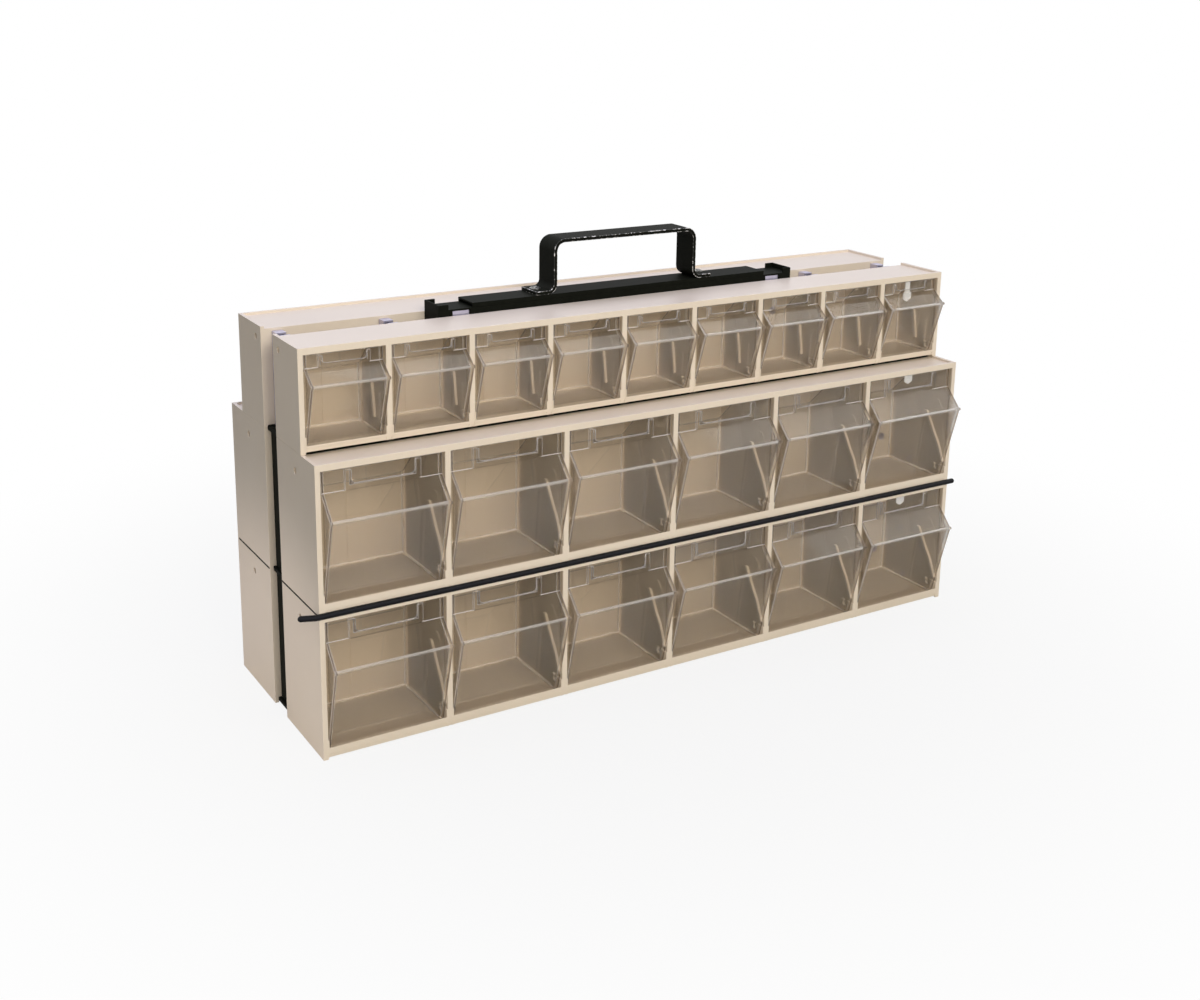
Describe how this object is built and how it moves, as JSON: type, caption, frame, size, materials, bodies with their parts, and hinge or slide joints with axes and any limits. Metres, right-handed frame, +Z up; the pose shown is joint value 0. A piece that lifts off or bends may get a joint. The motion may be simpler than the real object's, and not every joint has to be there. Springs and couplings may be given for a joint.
{
  "type": "parts bin cabinet",
  "caption": "Double-sided portable parts cabinet: rows of clear tilt-out bins in moulded cases, back to back on a steel carry frame with a strap handle.",
  "frame": {"origin": "middle of the base, where the cabinet stands", "axes": "+X to the right along the rows of bins, seen from the front; +Y from the front cases to the rear cases; +Z up"},
  "size_m": [0.622, 0.208, 0.351],
  "materials": {
    "case_plastic": "semi-matt moulded cream plastic",
    "bin_plastic": "clear glossy moulded polystyrene",
    "frame_steel": "semi-gloss black paint, worn at the edges",
    "zinc_plate": "zinc plated, slightly bluish",
    "rivet_steel": "black steel with rubbed heads",
    "catch_plate": "bright plated spring strip",
    "screw_steel": "zinc plated",
    "rod_steel": "glossy blue-black"
  },
  "bodies": {
    "cabinet": {"case_front_top": "case_plastic", "case_front_middle": "case_plastic", "case_front_bottom": "case_plastic", "case_rear_top": "case_plastic", "case_rear_middle": "case_plastic", "case_rear_bottom": "case_plastic", "upright_left": "frame_steel", "upright_right": "frame_steel", "cross_ties": "frame_steel", "posts": "zinc_plate", "top_channel": "frame_steel", "handle_plate": "frame_steel", "handle": "frame_steel", "handle_rivets": "rivet_steel", "case_screws": "screw_steel", "row_catches": "catch_plate", "hanger_straps": "zinc_plate"},
    "front_top_1": {"bin_front_top_1": "bin_plastic"},
    "front_top_2": {"bin_front_top_2": "bin_plastic"},
    "front_top_3": {"bin_front_top_3": "bin_plastic"},
    "front_top_4": {"bin_front_top_4": "bin_plastic"},
    "front_top_5": {"bin_front_top_5": "bin_plastic"},
    "front_top_6": {"bin_front_top_6": "bin_plastic"},
    "front_top_7": {"bin_front_top_7": "bin_plastic"},
    "front_top_8": {"bin_front_top_8": "bin_plastic"},
    "front_top_9": {"bin_front_top_9": "bin_plastic"},
    "front_middle_1": {"bin_front_middle_1": "bin_plastic"},
    "front_middle_2": {"bin_front_middle_2": "bin_plastic"},
    "front_middle_3": {"bin_front_middle_3": "bin_plastic"},
    "front_middle_4": {"bin_front_middle_4": "bin_plastic"},
    "front_middle_5": {"bin_front_middle_5": "bin_plastic"},
    "front_middle_6": {"bin_front_middle_6": "bin_plastic"},
    "front_bottom_1": {"bin_front_bottom_1": "bin_plastic"},
    "front_bottom_2": {"bin_front_bottom_2": "bin_plastic"},
    "front_bottom_3": {"bin_front_bottom_3": "bin_plastic"},
    "front_bottom_4": {"bin_front_bottom_4": "bin_plastic"},
    "front_bottom_5": {"bin_front_bottom_5": "bin_plastic"},
    "front_bottom_6": {"bin_front_bottom_6": "bin_plastic"},
    "rear_top_1": {"bin_rear_top_1": "bin_plastic"},
    "rear_top_2": {"bin_rear_top_2": "bin_plastic"},
    "rear_top_3": {"bin_rear_top_3": "bin_plastic"},
    "rear_top_4": {"bin_rear_top_4": "bin_plastic"},
    "rear_top_5": {"bin_rear_top_5": "bin_plastic"},
    "rear_top_6": {"bin_rear_top_6": "bin_plastic"},
    "rear_top_7": {"bin_rear_top_7": "bin_plastic"},
    "rear_top_8": {"bin_rear_top_8": "bin_plastic"},
    "rear_top_9": {"bin_rear_top_9": "bin_plastic"},
    "rear_middle_1": {"bin_rear_middle_1": "bin_plastic"},
    "rear_middle_2": {"bin_rear_middle_2": "bin_plastic"},
    "rear_middle_3": {"bin_rear_middle_3": "bin_plastic"},
    "rear_middle_4": {"bin_rear_middle_4": "bin_plastic"},
    "rear_middle_5": {"bin_rear_middle_5": "bin_plastic"},
    "rear_middle_6": {"bin_rear_middle_6": "bin_plastic"},
    "rear_bottom_1": {"bin_rear_bottom_1": "bin_plastic"},
    "rear_bottom_2": {"bin_rear_bottom_2": "bin_plastic"},
    "rear_bottom_3": {"bin_rear_bottom_3": "bin_plastic"},
    "rear_bottom_4": {"bin_rear_bottom_4": "bin_plastic"},
    "rear_bottom_5": {"bin_rear_bottom_5": "bin_plastic"},
    "rear_bottom_6": {"bin_rear_bottom_6": "bin_plastic"},
    "locking_rod_body": {"locking_rod": "rod_steel"}
  },
  "joints": [
    {"name": "tilt_front_top_1", "type": "hinge", "parent": "cabinet", "child": "front_top_1", "pos_m": [-0.26507, -0.0549, 0.2332], "axis": [1, 0, 0], "range_deg": [0, 45]},
    {"name": "tilt_front_top_2", "type": "hinge", "parent": "cabinet", "child": "front_top_2", "pos_m": [-0.1988, -0.0549, 0.2332], "axis": [1, 0, 0], "range_deg": [0, 45]},
    {"name": "tilt_front_top_3", "type": "hinge", "parent": "cabinet", "child": "front_top_3", "pos_m": [-0.13253, -0.0549, 0.2332], "axis": [1, 0, 0], "range_deg": [0, 45]},
    {"name": "tilt_front_top_4", "type": "hinge", "parent": "cabinet", "child": "front_top_4", "pos_m": [-0.06627, -0.0549, 0.2332], "axis": [1, 0, 0], "range_deg": [0, 45]},
    {"name": "tilt_front_top_5", "type": "hinge", "parent": "cabinet", "child": "front_top_5", "pos_m": [0, -0.0549, 0.2332], "axis": [1, 0, 0], "range_deg": [0, 45]},
    {"name": "tilt_front_top_6", "type": "hinge", "parent": "cabinet", "child": "front_top_6", "pos_m": [0.06627, -0.0549, 0.2332], "axis": [1, 0, 0], "range_deg": [0, 45]},
    {"name": "tilt_front_top_7", "type": "hinge", "parent": "cabinet", "child": "front_top_7", "pos_m": [0.13253, -0.0549, 0.2332], "axis": [1, 0, 0], "range_deg": [0, 45]},
    {"name": "tilt_front_top_8", "type": "hinge", "parent": "cabinet", "child": "front_top_8", "pos_m": [0.1988, -0.0549, 0.2332], "axis": [1, 0, 0], "range_deg": [0, 45]},
    {"name": "tilt_front_top_9", "type": "hinge", "parent": "cabinet", "child": "front_top_9", "pos_m": [0.26507, -0.0549, 0.2332], "axis": [1, 0, 0], "range_deg": [0, 45]},
    {"name": "tilt_front_middle_1", "type": "hinge", "parent": "cabinet", "child": "front_middle_1", "pos_m": [-0.2485, -0.0781, 0.124], "axis": [1, 0, 0], "range_deg": [0, 40]},
    {"name": "tilt_front_middle_2", "type": "hinge", "parent": "cabinet", "child": "front_middle_2", "pos_m": [-0.1491, -0.0781, 0.124], "axis": [1, 0, 0], "range_deg": [0, 40]},
    {"name": "tilt_front_middle_3", "type": "hinge", "parent": "cabinet", "child": "front_middle_3", "pos_m": [-0.0497, -0.0781, 0.124], "axis": [1, 0, 0], "range_deg": [0, 40]},
    {"name": "tilt_front_middle_4", "type": "hinge", "parent": "cabinet", "child": "front_middle_4", "pos_m": [0.0497, -0.0781, 0.124], "axis": [1, 0, 0], "range_deg": [0, 40]},
    {"name": "tilt_front_middle_5", "type": "hinge", "parent": "cabinet", "child": "front_middle_5", "pos_m": [0.1491, -0.0781, 0.124], "axis": [1, 0, 0], "range_deg": [0, 40]},
    {"name": "tilt_front_middle_6", "type": "hinge", "parent": "cabinet", "child": "front_middle_6", "pos_m": [0.2485, -0.0781, 0.124], "axis": [1, 0, 0], "range_deg": [0, 40]},
    {"name": "tilt_front_bottom_1", "type": "hinge", "parent": "cabinet", "child": "front_bottom_1", "pos_m": [-0.2485, -0.0781, 0.012], "axis": [1, 0, 0], "range_deg": [0, 40]},
    {"name": "tilt_front_bottom_2", "type": "hinge", "parent": "cabinet", "child": "front_bottom_2", "pos_m": [-0.1491, -0.0781, 0.012], "axis": [1, 0, 0], "range_deg": [0, 40]},
    {"name": "tilt_front_bottom_3", "type": "hinge", "parent": "cabinet", "child": "front_bottom_3", "pos_m": [-0.0497, -0.0781, 0.012], "axis": [1, 0, 0], "range_deg": [0, 40]},
    {"name": "tilt_front_bottom_4", "type": "hinge", "parent": "cabinet", "child": "front_bottom_4", "pos_m": [0.0497, -0.0781, 0.012], "axis": [1, 0, 0], "range_deg": [0, 40]},
    {"name": "tilt_front_bottom_5", "type": "hinge", "parent": "cabinet", "child": "front_bottom_5", "pos_m": [0.1491, -0.0781, 0.012], "axis": [1, 0, 0], "range_deg": [0, 40]},
    {"name": "tilt_front_bottom_6", "type": "hinge", "parent": "cabinet", "child": "front_bottom_6", "pos_m": [0.2485, -0.0781, 0.012], "axis": [1, 0, 0], "range_deg": [0, 40]},
    {"name": "tilt_rear_top_1", "type": "hinge", "parent": "cabinet", "child": "rear_top_1", "pos_m": [0.26507, 0.0549, 0.2332], "axis": [-1, 0, 0], "range_deg": [0, 45]},
    {"name": "tilt_rear_top_2", "type": "hinge", "parent": "cabinet", "child": "rear_top_2", "pos_m": [0.1988, 0.0549, 0.2332], "axis": [-1, 0, 0], "range_deg": [0, 45]},
    {"name": "tilt_rear_top_3", "type": "hinge", "parent": "cabinet", "child": "rear_top_3", "pos_m": [0.13253, 0.0549, 0.2332], "axis": [-1, 0, 0], "range_deg": [0, 45]},
    {"name": "tilt_rear_top_4", "type": "hinge", "parent": "cabinet", "child": "rear_top_4", "pos_m": [0.06627, 0.0549, 0.2332], "axis": [-1, 0, 0], "range_deg": [0, 45]},
    {"name": "tilt_rear_top_5", "type": "hinge", "parent": "cabinet", "child": "rear_top_5", "pos_m": [0, 0.0549, 0.2332], "axis": [-1, 0, 0], "range_deg": [0, 45]},
    {"name": "tilt_rear_top_6", "type": "hinge", "parent": "cabinet", "child": "rear_top_6", "pos_m": [-0.06627, 0.0549, 0.2332], "axis": [-1, 0, 0], "range_deg": [0, 45]},
    {"name": "tilt_rear_top_7", "type": "hinge", "parent": "cabinet", "child": "rear_top_7", "pos_m": [-0.13253, 0.0549, 0.2332], "axis": [-1, 0, 0], "range_deg": [0, 45]},
    {"name": "tilt_rear_top_8", "type": "hinge", "parent": "cabinet", "child": "rear_top_8", "pos_m": [-0.1988, 0.0549, 0.2332], "axis": [-1, 0, 0], "range_deg": [0, 45]},
    {"name": "tilt_rear_top_9", "type": "hinge", "parent": "cabinet", "child": "rear_top_9", "pos_m": [-0.26507, 0.0549, 0.2332], "axis": [-1, 0, 0], "range_deg": [0, 45]},
    {"name": "tilt_rear_middle_1", "type": "hinge", "parent": "cabinet", "child": "rear_middle_1", "pos_m": [0.2485, 0.0781, 0.124], "axis": [-1, 0, 0], "range_deg": [0, 40]},
    {"name": "tilt_rear_middle_2", "type": "hinge", "parent": "cabinet", "child": "rear_middle_2", "pos_m": [0.1491, 0.0781, 0.124], "axis": [-1, 0, 0], "range_deg": [0, 40]},
    {"name": "tilt_rear_middle_3", "type": "hinge", "parent": "cabinet", "child": "rear_middle_3", "pos_m": [0.0497, 0.0781, 0.124], "axis": [-1, 0, 0], "range_deg": [0, 40]},
    {"name": "tilt_rear_middle_4", "type": "hinge", "parent": "cabinet", "child": "rear_middle_4", "pos_m": [-0.0497, 0.0781, 0.124], "axis": [-1, 0, 0], "range_deg": [0, 40]},
    {"name": "tilt_rear_middle_5", "type": "hinge", "parent": "cabinet", "child": "rear_middle_5", "pos_m": [-0.1491, 0.0781, 0.124], "axis": [-1, 0, 0], "range_deg": [0, 40]},
    {"name": "tilt_rear_middle_6", "type": "hinge", "parent": "cabinet", "child": "rear_middle_6", "pos_m": [-0.2485, 0.0781, 0.124], "axis": [-1, 0, 0], "range_deg": [0, 40]},
    {"name": "tilt_rear_bottom_1", "type": "hinge", "parent": "cabinet", "child": "rear_bottom_1", "pos_m": [0.2485, 0.0781, 0.012], "axis": [-1, 0, 0], "range_deg": [0, 40]},
    {"name": "tilt_rear_bottom_2", "type": "hinge", "parent": "cabinet", "child": "rear_bottom_2", "pos_m": [0.1491, 0.0781, 0.012], "axis": [-1, 0, 0], "range_deg": [0, 40]},
    {"name": "tilt_rear_bottom_3", "type": "hinge", "parent": "cabinet", "child": "rear_bottom_3", "pos_m": [0.0497, 0.0781, 0.012], "axis": [-1, 0, 0], "range_deg": [0, 40]},
    {"name": "tilt_rear_bottom_4", "type": "hinge", "parent": "cabinet", "child": "rear_bottom_4", "pos_m": [-0.0497, 0.0781, 0.012], "axis": [-1, 0, 0], "range_deg": [0, 40]},
    {"name": "tilt_rear_bottom_5", "type": "hinge", "parent": "cabinet", "child": "rear_bottom_5", "pos_m": [-0.1491, 0.0781, 0.012], "axis": [-1, 0, 0], "range_deg": [0, 40]},
    {"name": "tilt_rear_bottom_6", "type": "hinge", "parent": "cabinet", "child": "rear_bottom_6", "pos_m": [-0.2485, 0.0781, 0.012], "axis": [-1, 0, 0], "range_deg": [0, 40]},
    {"name": "rod_draw", "type": "slide", "parent": "cabinet", "child": "locking_rod_body", "axis": [-1, 0, 0], "range_m": [0, 0.55]}
  ]
}
